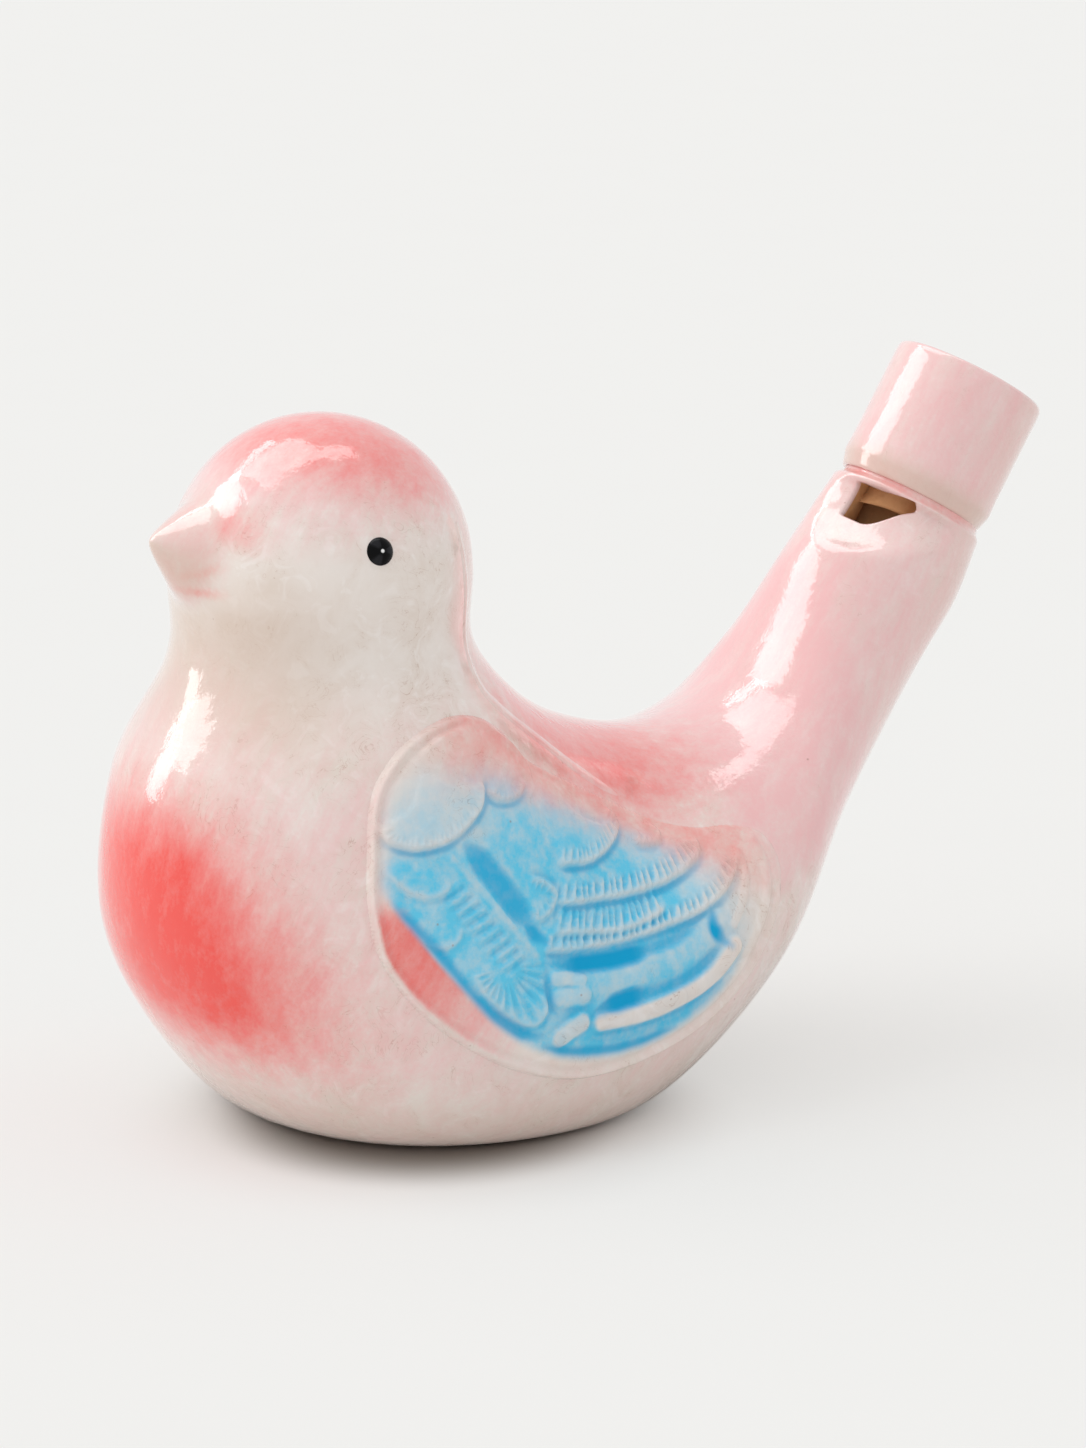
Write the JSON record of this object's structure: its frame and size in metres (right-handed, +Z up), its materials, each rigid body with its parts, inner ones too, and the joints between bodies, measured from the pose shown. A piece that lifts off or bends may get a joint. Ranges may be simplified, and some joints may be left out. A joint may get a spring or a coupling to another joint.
{
  "type": "water whistle",
  "caption": "Hollow ceramic bird with a whistle mouthpiece on its raised tail: part filled with water and blown, it warbles. Raised wings, cone beak, bead eyes, flat foot.",
  "frame": {"origin": "on the plane of the foot, midway between the breast and the back of the mouthpiece, on the parting plane", "axes": "+X towards the tail, +Z up, and the bird's left side towards -Y"},
  "size_m": [0.0824, 0.0446, 0.0556],
  "materials": {
    "body_glaze": "clear gloss glaze over airbrushed coral and pink on cream",
    "wing_glaze": "clear gloss glaze over sky blue pooled in the relief",
    "beak_glaze": "clear gloss glaze over peach",
    "eye_glaze": "black gloss glaze",
    "mouthpiece_glaze": "clear gloss glaze over pale pink",
    "bare_clay": "unglazed fired clay"
  },
  "bodies": {
    "root": {"body_shell_left": "body_glaze", "body_shell_right": "body_glaze", "window_collar": "body_glaze", "wing_left": "wing_glaze", "wing_right": "wing_glaze", "beak": "beak_glaze", "eye_left": "eye_glaze", "eye_right": "eye_glaze", "mouthpiece": "mouthpiece_glaze", "windway_block": "bare_clay"}
  },
  "joints": []
}
